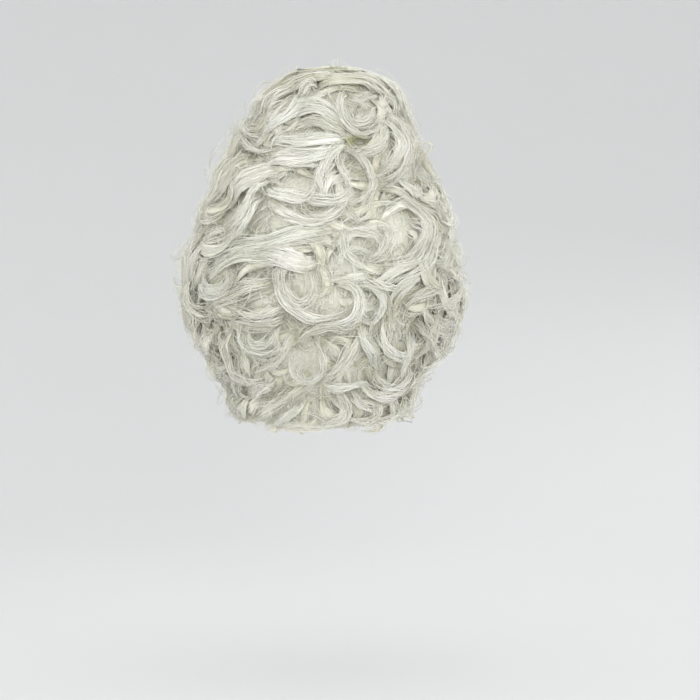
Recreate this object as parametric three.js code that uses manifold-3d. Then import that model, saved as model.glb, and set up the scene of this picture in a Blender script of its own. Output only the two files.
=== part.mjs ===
// A tall dress wig of white curls on a soft fitted cap, in millimetres.
// The origin is where the crown of the head touches the inside of the cap.
// +Z is up, the face looks along -Y, and the back of the head is towards +Y.

import * as THREE from "three";
import Module from "manifold-3d";
import { mergeVertices } from "three/addons/utils/BufferGeometryUtils.js";

// The head that the cap fits
const HEAD_WIDTH = 154;
const HEAD_DEPTH = 194;
// Crown to the cap's edge at the nape
const CAP_DROP = 172;
const CAP_WALL = 1.6;
// How far down the crown counts as facing up, as a share of CAP_DROP
const CROWN_DEPTH = 0.33;

// Hair below its curls: how thick it stands on the head, and how far it goes up and down from the crown
const SIDE_HAIR = 58;
const BACK_HAIR = 53;
const FRONT_HAIR = 5;
const HAIR_RISE = 150;
const HAIR_DROP = 208;

// The space left between the cap and the hair, and between one tier of hair and the next
const HAIR_GAP = 0.4;
// How far a tier of hair runs under the one above it before it is cut back
const TIER_OVERLAP = 3;
// How far past the ends of the hair the hollow for the head is cut, as a share of HAIR_DROP
const HOLLOW_REACH = 1.05;

// A full-size lock, which the tables below take shares of
const LOCK_LENGTH = 103;
const LOCK_WIDTH = 20;
const LOCK_THICKNESS = 13;
// How deep a lock's ends are sunk, and how far its middle stands out from there, as shares of its
// thickness
const END_SINK = 0.35;
const LOCK_STAND = 0.62;
// How full a lock is at its ends, as a share of its middle, and how bluntly it fills out from them:
// 1 is the shape of half a wave, and less is blunter
const END_FULLNESS = 0.4;
const BLUNTNESS = 0.7;
// How much of a lock's share of LOCK_WIDTH its thickness follows
const WIDTH_TO_THICKNESS = 0.6;
// How much more a lock bends at its tip than at its root: 0 is an even curl
const CURL_TIGHTENING = 0.45;

// Faces round and down the cap, in each tier of hair and in each lock
const CAP_SPANS = 32;
const CAP_LEVELS = 7;
const CROWN_SPANS = 20;
const CROWN_LEVELS = 6;
const TIER_SPAN_DEGREES = 17;
const TIER_LEVELS = 3;
// 1 spaces the levels of the cap and the crown evenly, and more crowds them at the top
const TOP_CROWDING = 1.6;
const LEAST_LOCK_SPANS = 5;
const DEGREES_PER_LOCK_SPAN = 30;
const LOCK_SIDES = 5;

// Where a half of the back tiers ends, and where the side hair ends beside the face.
// Angles go round the head from the middle of the back, and +X, the wearer's left, is at 90.
const BACK_HALF_ANGLE = 52;
const FACE_ANGLE = 130;

// The hollow for the head, from the crown down. height is a share of CAP_DROP, wide of half the
// head's width, deep and set of half its depth: set is how far behind the origin the middle lies.
const HEAD_LEVELS = [
  { height: 0, wide: 0, deep: 0, set: 0 },
  { height: -0.02, wide: 0.27, deep: 0.27, set: 0 },
  { height: -0.06, wide: 0.46, deep: 0.46, set: 0 },
  { height: -0.13, wide: 0.66, deep: 0.66, set: 0 },
  { height: -0.22, wide: 0.82, deep: 0.82, set: 0 },
  { height: -0.34, wide: 0.94, deep: 0.94, set: 0 },
  { height: -0.52, wide: 1, deep: 1, set: 0.01 },
  { height: -0.7, wide: 0.98, deep: 0.96, set: 0.02 },
  { height: -0.87, wide: 0.93, deep: 0.88, set: -0.01 },
  { height: -1.07, wide: 0.86, deep: 0.79, set: -0.07 },
  { height: -1.28, wide: 0.78, deep: 0.72, set: -0.12 },
];

// The body of hair under the curls, from its top down. height is a share of HAIR_RISE above the
// crown and of HAIR_DROP below it, wide of the hair's half width, deep of its half depth,
// set of how far back its middle lies, and lean of its half width, to the wearer's left.
const HAIR_LEVELS = [
  { height: 1, wide: 0, deep: 0, set: 0.5, lean: -0.05 },
  { height: 0.98, wide: 0.25, deep: 0.27, set: 0.5, lean: -0.05 },
  { height: 0.92, wide: 0.4, deep: 0.43, set: 0.5, lean: -0.04 },
  { height: 0.82, wide: 0.5, deep: 0.54, set: 0.46, lean: -0.03 },
  { height: 0.66, wide: 0.61, deep: 0.66, set: 0.46, lean: -0.01 },
  { height: 0.45, wide: 0.73, deep: 0.76, set: 0.55, lean: 0.01 },
  { height: 0.18, wide: 0.83, deep: 0.87, set: 0.68, lean: 0.02 },
  { height: -0.05, wide: 0.93, deep: 0.96, set: 0.82, lean: 0.02 },
  { height: -0.22, wide: 0.98, deep: 1, set: 0.95, lean: 0.02 },
  { height: -0.42, wide: 1, deep: 0.98, set: 1.08, lean: 0.02 },
  { height: -0.54, wide: 0.94, deep: 0.92, set: 1.08, lean: 0.02 },
  { height: -0.68, wide: 0.81, deep: 0.83, set: 0.96, lean: 0.03 },
  { height: -0.82, wide: 0.67, deep: 0.73, set: 0.8, lean: 0.03 },
  { height: -1, wide: 0.57, deep: 0.6, set: 0.58, lean: 0.04 },
];

// The cap's edge, from the nape round to the forehead: over the ear, down the tab in front of it
// and up to the hairline. drop is a share of CAP_DROP.
const CAP_EDGE = [
  { angle: 0, drop: 1 },
  { angle: 40, drop: 0.99 },
  { angle: 60, drop: 0.93 },
  { angle: 76, drop: 0.69 },
  { angle: 90, drop: 0.6 },
  { angle: 102, drop: 0.65 },
  { angle: 111, drop: 0.75 },
  { angle: 119, drop: 0.71 },
  { angle: 132, drop: 0.49 },
  { angle: 150, drop: 0.39 },
  { angle: 180, drop: 0.34 },
];

// The tiers of hair, each the growth of one band of the cap. from and to are angles round the head.
// capTop and capEnd are levels on the cap, as shares of CAP_DROP. skinTop and skinEnd are where
// the same tier starts and ends on the outside, as shares of HAIR_RISE or HAIR_DROP.
// A tier is laid over those that come after it.
const TIERS = [
  { name: "crown_pile", capTop: 0, capEnd: -0.174, skinTop: 1, skinEnd: 0.39 },
  {
    name: "front_sweep",
    from: FACE_ANGLE,
    to: 360 - FACE_ANGLE,
    capTop: -0.174,
    capEnd: -0.33,
    skinTop: 0.39,
    skinEnd: -0.2,
  },
  {
    name: "upper_back_curls",
    from: -BACK_HALF_ANGLE,
    to: BACK_HALF_ANGLE,
    capTop: -0.174,
    capEnd: -0.44,
    skinTop: 0.39,
    skinEnd: -0.1,
  },
  {
    name: "left_temple_curls",
    from: BACK_HALF_ANGLE,
    to: FACE_ANGLE,
    capTop: -0.174,
    capEnd: -0.52,
    skinTop: 0.39,
    skinEnd: -0.29,
  },
  {
    name: "right_temple_curls",
    from: -FACE_ANGLE,
    to: -BACK_HALF_ANGLE,
    capTop: -0.174,
    capEnd: -0.52,
    skinTop: 0.39,
    skinEnd: -0.29,
  },
  {
    name: "middle_back_curls",
    from: -BACK_HALF_ANGLE,
    to: BACK_HALF_ANGLE,
    capTop: -0.44,
    capEnd: -0.7,
    skinTop: -0.1,
    skinEnd: -0.46,
  },
  {
    name: "left_cheek_curls",
    from: BACK_HALF_ANGLE,
    to: FACE_ANGLE,
    capTop: -0.52,
    capEnd: -1.17,
    skinTop: -0.29,
    skinEnd: -0.97,
  },
  {
    name: "right_cheek_curls",
    from: -FACE_ANGLE,
    to: -BACK_HALF_ANGLE,
    capTop: -0.52,
    capEnd: -1.17,
    skinTop: -0.29,
    skinEnd: -0.97,
  },
  {
    name: "lower_back_curls",
    from: -BACK_HALF_ANGLE,
    to: BACK_HALF_ANGLE,
    capTop: -0.7,
    capEnd: -0.97,
    skinTop: -0.46,
    skinEnd: -0.78,
  },
  {
    name: "nape_curls",
    from: -BACK_HALF_ANGLE,
    to: BACK_HALF_ANGLE,
    capTop: -0.97,
    capEnd: -1.2,
    skinTop: -0.78,
    skinEnd: -1,
  },
];

// The main locks of the back, as they show from behind. left is how far the root lies towards the
// wearer's left, as a share of the hair's half width, and up is its height, as a share of HAIR_RISE
// or HAIR_DROP. heading is the way the lock sets off, 0 down and 90 to the left. turn is how far it
// bends on its way, and a turn above 0 goes from down to left to up. long and wide are shares of
// LOCK_LENGTH and LOCK_WIDTH.
const BACK_LOCKS = [
  { left: 0.08, up: 0.97, heading: 80, turn: -50, long: 1.15, wide: 1.15 },
  { left: -0.16, up: 0.97, heading: -80, turn: 50, long: 1.1, wide: 1.1 },
  { left: 0.18, up: 0.76, heading: 0, turn: 140, long: 0.95, wide: 0.75 },
  { left: 0.56, up: 0.58, heading: -5, turn: -100, long: 0.8, wide: 0.7 },
  { left: 0.24, up: 0.6, heading: -100, turn: 55, long: 0.7, wide: 0.95 },
  { left: -0.13, up: 0.78, heading: 15, turn: -250, long: 1.1, wide: 0.65 },
  { left: -0.36, up: 0.76, heading: -50, turn: 130, long: 1.3, wide: 1.0 },
  { left: -0.4, up: 0.6, heading: -30, turn: 95, long: 0.75, wide: 0.7 },
  { left: -0.14, up: 0.5, heading: 50, turn: -125, long: 0.85, wide: 0.7 },
  { left: -0.1, up: 0.28, heading: 95, turn: -35, long: 1.5, wide: 1.05 },
  { left: 0.22, up: 0.36, heading: 95, turn: -45, long: 1.1, wide: 0.95 },
  { left: 0.46, up: 0.1, heading: -30, turn: -115, long: 1.05, wide: 0.7 },
  { left: -0.36, up: 0.0, heading: -150, turn: 225, long: 1.15, wide: 0.65 },
  { left: -0.62, up: 0.08, heading: -40, turn: 105, long: 0.8, wide: 0.8 },
  { left: 0.2, up: -0.1, heading: 95, turn: -45, long: 1.15, wide: 0.95 },
  { left: 0.6, up: -0.14, heading: -100, turn: 80, long: 1.1, wide: 1.1 },
  { left: 0.3, up: -0.26, heading: 0, turn: -150, long: 1.35, wide: 0.95 },
  { left: 0.57, up: -0.46, heading: 0, turn: -190, long: 0.85, wide: 0.7 },
  { left: 0.02, up: -0.5, heading: 10, turn: -215, long: 0.65, wide: 0.6 },
  { left: -0.36, up: -0.28, heading: -105, turn: 30, long: 0.75, wide: 0.8 },
  { left: -0.37, up: -0.49, heading: 0, turn: -200, long: 0.7, wide: 0.6 },
  { left: -0.16, up: -0.34, heading: -75, turn: 215, long: 0.85, wide: 0.65 },
  { left: 0.22, up: -0.62, heading: -15, turn: -130, long: 0.8, wide: 0.7 },
  { left: -0.16, up: -0.73, heading: 75, turn: -20, long: 1.0, wide: 0.85 },
  { left: -0.49, up: -0.6, heading: -5, turn: 80, long: 0.75, wide: 0.7 },
  { left: 0.38, up: -0.91, heading: -45, turn: -85, long: 0.8, wide: 0.7 },
  { left: -0.18, up: -0.9, heading: -40, turn: -120, long: 0.65, wide: 0.7 },
  { left: 0.5, up: -0.76, heading: 25, turn: -110, long: 0.7, wide: 0.75 },
];

// The main locks of one side, mirrored on the other. angle goes round the head from the middle
// of the back, and up, heading, turn, long and wide are as above.
const SIDE_LOCKS = [
  { angle: 70, up: 0.3, heading: 30, turn: -110, long: 1.0, wide: 1.0 },
  { angle: 104, up: 0.3, heading: -20, turn: 120, long: 1.0, wide: 1.0 },
  { angle: 76, up: -0.06, heading: -20, turn: 130, long: 1.0, wide: 1.0 },
  { angle: 112, up: -0.1, heading: 25, turn: -130, long: 1.0, wide: 1.0 },
  { angle: 72, up: -0.38, heading: 25, turn: -130, long: 1.0, wide: 1.0 },
  { angle: 104, up: -0.42, heading: -20, turn: 140, long: 0.95, wide: 0.95 },
  { angle: 84, up: -0.66, heading: 20, turn: -130, long: 0.85, wide: 0.95 },
  { angle: 114, up: -0.7, heading: -20, turn: 120, long: 0.8, wide: 0.85 },
];

// The locks that sweep up from the forehead and over the top, mirrored on the other side
const FRONT_LOCKS = [
  { angle: 168, up: -0.14, heading: 170, turn: 25, long: 1.3, wide: 1.15 },
  { angle: 140, up: 0.04, heading: 150, turn: 60, long: 1.2, wide: 1.1 },
  { angle: 160, up: 0.5, heading: 165, turn: -40, long: 1.1, wide: 1.1 },
];

const DOWN = new THREE.Vector3(0, 0, -1);
// The reach of any point well clear of a form, whose surface has a reach of 1
const FAR_OUTSIDE = 9;
// How far apart the places are that give a surface's slope, as a share of LOCK_THICKNESS
const NORMAL_STEP = 0.12;
const radians = THREE.MathUtils.degToRad;

// A column of a table at a place between its rows, on a smooth curve through every row.
function between(rows, column, place) {
  const last = rows.length - 1;
  const row = THREE.MathUtils.clamp(Math.floor(place), 0, last - 1);
  const f = place - row;
  const [a, b, c, d] = [-1, 0, 1, 2].map((k) => rows[THREE.MathUtils.clamp(row + k, 0, last)][column]);
  return b + 0.5 * f * (c - a + f * (2 * a - 5 * b + 4 * c - d + f * (3 * (b - c) + d - a)));
}

// The place in a table where a falling or rising column has a value, found by halving.
function placeOf(rows, column, value) {
  const falls = rows[0][column] > rows[rows.length - 1][column];
  let [low, high] = [0, rows.length - 1];
  for (let i = 0; i < 24; i += 1) {
    const middle = (low + high) / 2;
    const before = between(rows, column, middle) > value === falls;
    [low, high] = before ? [middle, high] : [low, middle];
  }
  return (low + high) / 2;
}

// A body with an elliptical outline at every level, such as the head or the hair around it.
class Form {
  constructor(rows, sizes) {
    this.rows = rows;
    this.sizes = sizes;
  }

  height(share) {
    return share * (share > 0 ? this.sizes.rise : this.sizes.drop);
  }

  // The outline at a height: its half width and half depth, and the middle of both.
  outline(z) {
    const { rise, drop, wide, deep, set } = this.sizes;
    const place = placeOf(this.rows, "height", z > 0 ? z / rise : z / drop);
    return {
      wide: wide * between(this.rows, "wide", place),
      deep: deep * between(this.rows, "deep", place),
      set: set * between(this.rows, "set", place),
      lean: this.rows[0].lean === undefined ? 0 : wide * between(this.rows, "lean", place),
    };
  }

  // The point of the outline at an angle round the head, moved out by grow.
  point(angle, z, grow = 0) {
    const { wide, deep, set, lean } = this.outline(z);
    const [x, y] = [Math.sin(radians(angle)), Math.cos(radians(angle))];
    const out = wide > 0 ? grow : 0;
    return new THREE.Vector3(lean + (wide + out) * x, set + (deep + out) * y, z);
  }

  // 1 on the surface, less inside and more outside.
  reach(p) {
    if (p.z >= this.sizes.rise) return FAR_OUTSIDE;
    const { wide, deep, set, lean } = this.outline(p.z);
    return Math.min(FAR_OUTSIDE, Math.hypot((p.x - lean) / wide, (p.y - set) / deep));
  }

  // Where the line from the heart of the form through a point meets the surface.
  project(p) {
    const ray = p.clone().sub(this.sizes.heart);
    let [low, high] = [0, 3];
    for (let i = 0; i < 24; i += 1) {
      const middle = (low + high) / 2;
      const out = this.reach(this.sizes.heart.clone().addScaledVector(ray, middle)) > 1;
      [low, high] = out ? [low, middle] : [middle, high];
    }
    return this.sizes.heart.clone().addScaledVector(ray, low);
  }

  // The direction straight out of the surface at a point on it.
  normal(p) {
    const step = LOCK_THICKNESS * NORMAL_STEP;
    const slope = ["x", "y", "z"].map((axis) => {
      const ahead = p.clone();
      const behind = p.clone();
      ahead[axis] += step;
      behind[axis] -= step;
      return this.reach(ahead) - this.reach(behind);
    });
    return new THREE.Vector3(...slope).normalize();
  }
}

const head = new Form(HEAD_LEVELS, {
  rise: 1,
  drop: CAP_DROP,
  wide: HEAD_WIDTH / 2,
  deep: HEAD_DEPTH / 2,
  set: HEAD_DEPTH / 2,
});

const hair = new Form(HAIR_LEVELS, {
  rise: HAIR_RISE,
  drop: HAIR_DROP,
  wide: HEAD_WIDTH / 2 + SIDE_HAIR,
  deep: (HEAD_DEPTH + BACK_HAIR + FRONT_HAIR) / 2,
  set: (BACK_HAIR - FRONT_HAIR) / 2,
  heart: new THREE.Vector3(0, (BACK_HAIR - FRONT_HAIR) / 3, (HAIR_RISE - HAIR_DROP) / 2),
});

const wasm = await Module();
wasm.setup();

// A closed skin through rings of points, each ring with as many. The ends are closed by a ladder
// of faces across the ring, or the last ring meets the first.
function loft(rings, endless = false) {
  const n = rings[0].length;
  const index = [];
  const spans = endless ? rings.length : rings.length - 1;
  for (let r = 0; r < spans; r += 1) {
    const here = r * n;
    const next = ((r + 1) % rings.length) * n;
    for (let i = 0; i < n; i += 1) {
      const j = (i + 1) % n;
      index.push(here + i, here + j, next + j, here + i, next + j, next + i);
    }
  }
  const last = spans * n;
  for (let i = 0; !endless && i < n / 2 - 1; i += 1) {
    const k = n - 1 - i;
    index.push(i, k, k - 1, i, k - 1, i + 1);
    index.push(last + i, last + k - 1, last + k, last + i, last + i + 1, last + k - 1);
  }
  const geometry = new THREE.BufferGeometry().setFromPoints(rings.flat()).setIndex(index);
  return solidOf(geometry);
}

// A geometry as a solid, with its shared points merged and its empty faces left out.
function solidOf(geometry) {
  const merged = mergeVertices(geometry, 1e-4);
  const corners = merged.index.array;
  const faces = [];
  for (let i = 0; i < corners.length; i += 3) {
    const [a, b, c] = corners.slice(i, i + 3);
    if (a !== b && b !== c && c !== a) faces.push([a, b, c]);
  }
  const build = (list) =>
    new wasm.Manifold(
      new wasm.Mesh({
        numProp: 3,
        vertProperties: new Float32Array(merged.attributes.position.array),
        triVerts: new Uint32Array(list.flat()),
      }),
    );
  const solid = build(faces);
  return solid.volume() < 0 ? build(faces.map(([a, b, c]) => [a, c, b])) : solid;
}

// Angles from one to another in even steps of about a given size.
function angles(from, to, step) {
  const count = Math.max(1, Math.round((to - from) / step));
  return Array.from({ length: count + 1 }, (_, i) => from + ((to - from) * i) / count);
}

// Even shares from 0 to 1.
const shares = (spans) => Array.from({ length: spans + 1 }, (_, i) => i / spans);

// The rows of the cap and of the hair, closest at the top, where the form is most curved.
const CAP_ROWS = shares(CAP_LEVELS).map((share) => share ** TOP_CROWDING);
const CROWN_ROWS = shares(CROWN_LEVELS).map((share) => share ** TOP_CROWDING);
const TIER_ROWS = shares(TIER_LEVELS);

// How far the cap comes down at an angle round the head, the same on both sides.
function capEdge(angle) {
  const side = Math.abs(THREE.MathUtils.euclideanModulo(angle + 180, 360) - 180);
  return -CAP_DROP * between(CAP_EDGE, "drop", placeOf(CAP_EDGE, "angle", side));
}

// A point of the head moved out by grow, which counts upwards too near the crown.
function onCap(angle, z, grow) {
  const p = head.point(angle, z, grow);
  p.z += grow * (1 - THREE.MathUtils.smoothstep(-z, 0, CROWN_DEPTH * CAP_DROP));
  return p;
}

// The cap: a thin bowl over the head, open below and in front, with its edge cut round the ears.
function makeCap() {
  const rings = Array.from({ length: CAP_SPANS }, (_, i) => {
    const angle = (360 * i) / CAP_SPANS;
    const heights = CAP_ROWS.map((row) => row * capEdge(angle));
    const inside = heights.map((z) => head.point(angle, z));
    const outside = heights.map((z) => onCap(angle, z, CAP_WALL));
    return [...inside, ...outside.reverse()];
  });
  return loft(rings, true);
}

// The room that the head and the cap take up, down past the ends of the hair.
function makeHeadRoom() {
  const room = CAP_WALL + HAIR_GAP;
  const end = -HOLLOW_REACH * HAIR_DROP;
  const rings = Array.from({ length: CAP_SPANS }, (_, i) => {
    const angle = (360 * i) / CAP_SPANS;
    const edge = capEdge(angle);
    const below = [0.5, 1].map((share) => THREE.MathUtils.lerp(edge, end, share));
    const points = [...CAP_ROWS.map((row) => row * edge), ...below].map((z) => onCap(angle, z, room));
    return [new THREE.Vector3(0, 0, end), ...points.reverse()];
  });
  return loft(rings, true);
}

// The hair of one tier below its curls, from inside the cap to the skin of the hair. It reaches
// under the tiers that are laid over it. grow widens it, for the room that the tiers under it leave.
function makeTierBody(tier, grow = 0) {
  const ring = tier.from === undefined;
  const under = TIER_OVERLAP + grow;
  const underAngle = THREE.MathUtils.radToDeg(under / (HEAD_WIDTH / 2 + SIDE_HAIR));
  const turns = ring
    ? angles(0, 360, 360 / CROWN_SPANS).slice(0, -1)
    : angles(tier.from - underAngle, tier.to + underAngle, TIER_SPAN_DEGREES);
  const capTop = ring ? 0 : CAP_DROP * tier.capTop + under;
  const capEnd = CAP_DROP * tier.capEnd - grow;
  const skinTop = ring ? HAIR_RISE + grow : hair.height(tier.skinTop) + under;
  const skinEnd = hair.height(tier.skinEnd) - grow;
  const rows = ring ? CROWN_ROWS : TIER_ROWS;
  const rings = turns.map((angle) => {
    const inside = rows.map((row) => onCap(angle, THREE.MathUtils.lerp(capTop, capEnd, row), -TIER_OVERLAP));
    const outside = rows.map((row) => hair.point(angle, THREE.MathUtils.lerp(skinTop, skinEnd, row), grow));
    return [...inside, ...outside.reverse()];
  });
  return loft(rings, ring);
}

// The root of a lock on the skin of the hair.
function rootOf(lock) {
  const z = hair.height(lock.up);
  if (lock.angle !== undefined) return hair.point(lock.angle, z);
  const { wide, lean } = hair.outline(z);
  const across = (lock.left * hair.sizes.wide - lean) / wide;
  return hair.point(THREE.MathUtils.radToDeg(Math.asin(THREE.MathUtils.clamp(across, -0.97, 0.97))), z);
}

// Places along a lock: the point on the skin, the way out of the hair and the way along.
function walk(lock) {
  const length = lock.long * LOCK_LENGTH;
  const spans = Math.max(LEAST_LOCK_SPANS, Math.round(Math.abs(lock.turn) / DEGREES_PER_LOCK_SPAN));
  let point = rootOf(lock);
  let out = hair.normal(point);
  const down = DOWN.clone().addScaledVector(out, -DOWN.dot(out)).normalize();
  const left = down.clone().cross(out);
  const heading = radians(lock.heading);
  let along = down.multiplyScalar(Math.cos(heading)).addScaledVector(left, Math.sin(heading));
  const places = [{ point, out, along }];
  for (let step = 1; step <= spans; step += 1) {
    const share = (step - 0.5) / spans;
    const bend = (lock.turn / spans) * (1 + CURL_TIGHTENING * (2 * share - 1));
    along = along.clone().applyAxisAngle(out, -radians(bend));
    point = hair.project(point.clone().addScaledVector(along, length / spans));
    out = hair.normal(point);
    along = along.clone().addScaledVector(out, -along.dot(out)).normalize();
    places.push({ point, out, along });
  }
  return places;
}

// One lock: a flat tapering bundle, sunk at its root, that rides on the skin and tucks its tip in.
function makeLock(lock, grow = 0) {
  const places = walk(lock);
  const last = places.length - 1;
  const rings = places.map(({ point, out, along }, i) => {
    const share = i / last;
    const belly = Math.max(0, Math.sin(Math.PI * share)) ** BLUNTNESS;
    const full = THREE.MathUtils.lerp(END_FULLNESS, 1, belly);
    const stand = LOCK_THICKNESS * (LOCK_STAND * belly - END_SINK);
    const across = along.clone().cross(out);
    const halfWidth = (full * lock.wide * LOCK_WIDTH) / 2 + grow;
    const stout = THREE.MathUtils.lerp(1, lock.wide, WIDTH_TO_THICKNESS);
    const halfThick = (full * stout * LOCK_THICKNESS) / 2 + grow;
    const end = i === 0 ? -grow : i === last ? grow : 0;
    const middle = point.clone().addScaledVector(out, stand).addScaledVector(along, end);
    return Array.from({ length: LOCK_SIDES }, (_, k) => {
      const turn = (2 * Math.PI * k) / LOCK_SIDES + Math.PI / 2;
      return middle
        .clone()
        .addScaledVector(across, halfWidth * Math.cos(turn))
        .addScaledVector(out, halfThick * Math.sin(turn));
    });
  });
  return loft(rings);
}

// The lock as it lies on the other side of the head.
const mirrored = (lock) => ({ ...lock, angle: -lock.angle, heading: -lock.heading, turn: -lock.turn });

// The tier that a lock grows from: the one whose skin holds its root.
function tierOf(lock) {
  const root = rootOf(lock);
  const { lean, set, wide, deep } = hair.outline(root.z);
  const angle = THREE.MathUtils.radToDeg(Math.atan2((root.x - lean) / wide, (root.y - set) / deep));
  return TIERS.find((tier) => {
    if (root.z > hair.height(tier.skinTop) || root.z < hair.height(tier.skinEnd)) return false;
    if (tier.from === undefined) return true;
    const place = THREE.MathUtils.euclideanModulo(angle - tier.from, 360);
    return place <= tier.to - tier.from;
  });
}

// The largest body of a solid: crumbs that an upper lock cuts off the tip of a lower one are left out.
function largest(solid) {
  return solid.decompose().reduce((a, b) => (b.volume() > a.volume() ? b : a));
}

const WHITE_HAIR = new THREE.MeshStandardMaterial({ color: 0xdedccf, roughness: 0.45, metalness: 0 });
const CAP_NET = new THREE.MeshStandardMaterial({ color: 0xd8d4c4, roughness: 0.85, metalness: 0 });

// A solid as a named mesh of the wig.
function meshOf(name, solid, material) {
  const { numProp, vertProperties, triVerts } = solid.getMesh();
  const geometry = new THREE.BufferGeometry();
  geometry.setAttribute("position", new THREE.BufferAttribute(vertProperties, numProp));
  geometry.setIndex(new THREE.BufferAttribute(triVerts, 1));
  geometry.computeVertexNormals();
  const mesh = new THREE.Mesh(geometry, material);
  mesh.name = name;
  return mesh;
}

const wig = new THREE.Group();
wig.add(meshOf("cap", makeCap(), CAP_NET));

const locks = [
  ...BACK_LOCKS,
  ...[...SIDE_LOCKS, ...FRONT_LOCKS].flatMap((lock) => [lock, mirrored(lock)]),
];
let taken = makeHeadRoom();
for (const tier of TIERS) {
  const own = locks.filter((lock) => tierOf(lock) === tier);
  const body = own.reduce((sum, lock) => sum.add(makeLock(lock)), makeTierBody(tier));
  const room = own.reduce((sum, lock) => sum.add(makeLock(lock, HAIR_GAP)), makeTierBody(tier, HAIR_GAP));
  wig.add(meshOf(tier.name, largest(body.subtract(taken)), WHITE_HAIR));
  taken = taken.add(room);
}

export default wig;
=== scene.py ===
"""A tall dress wig of white curls on a fitted cap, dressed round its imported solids.

Sizes are in metres, and in millimetres where a name or a comment says so.
"""

import math

import bmesh
import bpy
import numpy as np
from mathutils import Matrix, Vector


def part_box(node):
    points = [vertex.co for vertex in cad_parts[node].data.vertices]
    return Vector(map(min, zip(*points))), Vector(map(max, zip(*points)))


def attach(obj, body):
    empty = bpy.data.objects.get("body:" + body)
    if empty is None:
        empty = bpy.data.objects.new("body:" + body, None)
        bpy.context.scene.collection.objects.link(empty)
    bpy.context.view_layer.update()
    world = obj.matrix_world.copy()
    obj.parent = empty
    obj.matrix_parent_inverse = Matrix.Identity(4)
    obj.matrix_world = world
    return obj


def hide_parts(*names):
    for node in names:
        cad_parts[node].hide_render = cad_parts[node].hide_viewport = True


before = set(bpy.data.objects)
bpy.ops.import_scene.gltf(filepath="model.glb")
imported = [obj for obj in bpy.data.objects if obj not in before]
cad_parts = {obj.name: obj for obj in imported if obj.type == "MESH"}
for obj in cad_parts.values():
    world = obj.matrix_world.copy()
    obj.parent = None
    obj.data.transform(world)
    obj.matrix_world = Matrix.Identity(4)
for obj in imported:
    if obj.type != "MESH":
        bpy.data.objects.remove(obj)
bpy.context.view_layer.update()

# Sizes of the solids: the cap's wall, and how thick the hair stands on the head
CAP_WALL = 0.0016
SIDE_HAIR = 0.058
BACK_HAIR = 0.053
FRONT_HAIR = 0.005
# The gap that the dense hair under the curls keeps from the cap
CAP_GAP = 0.0006
# Angles round the head from the middle of the back, with the wearer's left at 90: where the back
# tiers end, and where the side hair ends beside the face
BACK_HALF_ANGLE = 52
FACE_ANGLE = 130
# The face is open below this height
FACE_TOP = -0.036

CAP_LOW, CAP_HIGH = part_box("cap")
CAP_DROP = -CAP_LOW.z
HEAD_HALF_WIDTH = (CAP_HIGH.x - CAP_LOW.x) / 2 - CAP_WALL
HEAD_HALF_DEPTH = 0.097
HAIR_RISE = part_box("crown_pile")[1].z
HAIR_DROP = -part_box("nape_curls")[0].z

# The hollow for the head: height as a share of CAP_DROP, half width, half depth and how far
# behind the origin the middle lies, as shares of the head's half width and half depth
HEAD_LEVELS = (
    (0.0, 0.0, 0.0, 0.0, 0.0),
    (-0.02, 0.27, 0.27, 0.0, 0.0),
    (-0.06, 0.46, 0.46, 0.0, 0.0),
    (-0.13, 0.66, 0.66, 0.0, 0.0),
    (-0.22, 0.82, 0.82, 0.0, 0.0),
    (-0.34, 0.94, 0.94, 0.0, 0.0),
    (-0.52, 1.0, 1.0, 0.01, 0.0),
    (-0.7, 0.98, 0.96, 0.02, 0.0),
    (-0.87, 0.93, 0.88, -0.01, 0.0),
    (-1.07, 0.86, 0.79, -0.07, 0.0),
    (-1.28, 0.78, 0.72, -0.12, 0.0),
)
# The body of hair under the curls: height as a share of HAIR_RISE or HAIR_DROP, half width,
# half depth, how far back the middle lies, and how far it leans to the wearer's left
HAIR_LEVELS = (
    (1.0, 0.0, 0.0, 0.5, -0.05),
    (0.98, 0.25, 0.27, 0.5, -0.05),
    (0.92, 0.4, 0.43, 0.5, -0.04),
    (0.82, 0.5, 0.54, 0.46, -0.03),
    (0.66, 0.61, 0.66, 0.46, -0.01),
    (0.45, 0.73, 0.76, 0.55, 0.01),
    (0.18, 0.83, 0.87, 0.68, 0.02),
    (-0.05, 0.93, 0.96, 0.82, 0.02),
    (-0.22, 0.98, 1.0, 0.95, 0.02),
    (-0.42, 1.0, 0.98, 1.08, 0.02),
    (-0.54, 0.94, 0.92, 1.08, 0.02),
    (-0.68, 0.81, 0.83, 0.96, 0.03),
    (-0.82, 0.69, 0.73, 0.8, 0.03),
    (-1.0, 0.62, 0.6, 0.58, 0.04),
)

# The tiers of hair: name, angles from and to, and their lower and upper ends on the outside, as
# shares of HAIR_RISE or HAIR_DROP, where 9 stands for no end
TIERS = (
    ("crown_pile", -180, 180, 0.39, 9.0),
    ("front_sweep", FACE_ANGLE, 360 - FACE_ANGLE, -9.0, 0.39),
    ("upper_back_curls", -BACK_HALF_ANGLE, BACK_HALF_ANGLE, -0.1, 0.39),
    ("left_temple_curls", BACK_HALF_ANGLE, FACE_ANGLE, -0.29, 0.39),
    ("right_temple_curls", -FACE_ANGLE, -BACK_HALF_ANGLE, -0.29, 0.39),
    ("middle_back_curls", -BACK_HALF_ANGLE, BACK_HALF_ANGLE, -0.46, -0.1),
    ("left_cheek_curls", BACK_HALF_ANGLE, FACE_ANGLE, -9.0, -0.29),
    ("right_cheek_curls", -FACE_ANGLE, -BACK_HALF_ANGLE, -9.0, -0.29),
    ("lower_back_curls", -BACK_HALF_ANGLE, BACK_HALF_ANGLE, -0.78, -0.46),
    ("nape_curls", -BACK_HALF_ANGLE, BACK_HALF_ANGLE, -9.0, -0.78),
)

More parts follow.
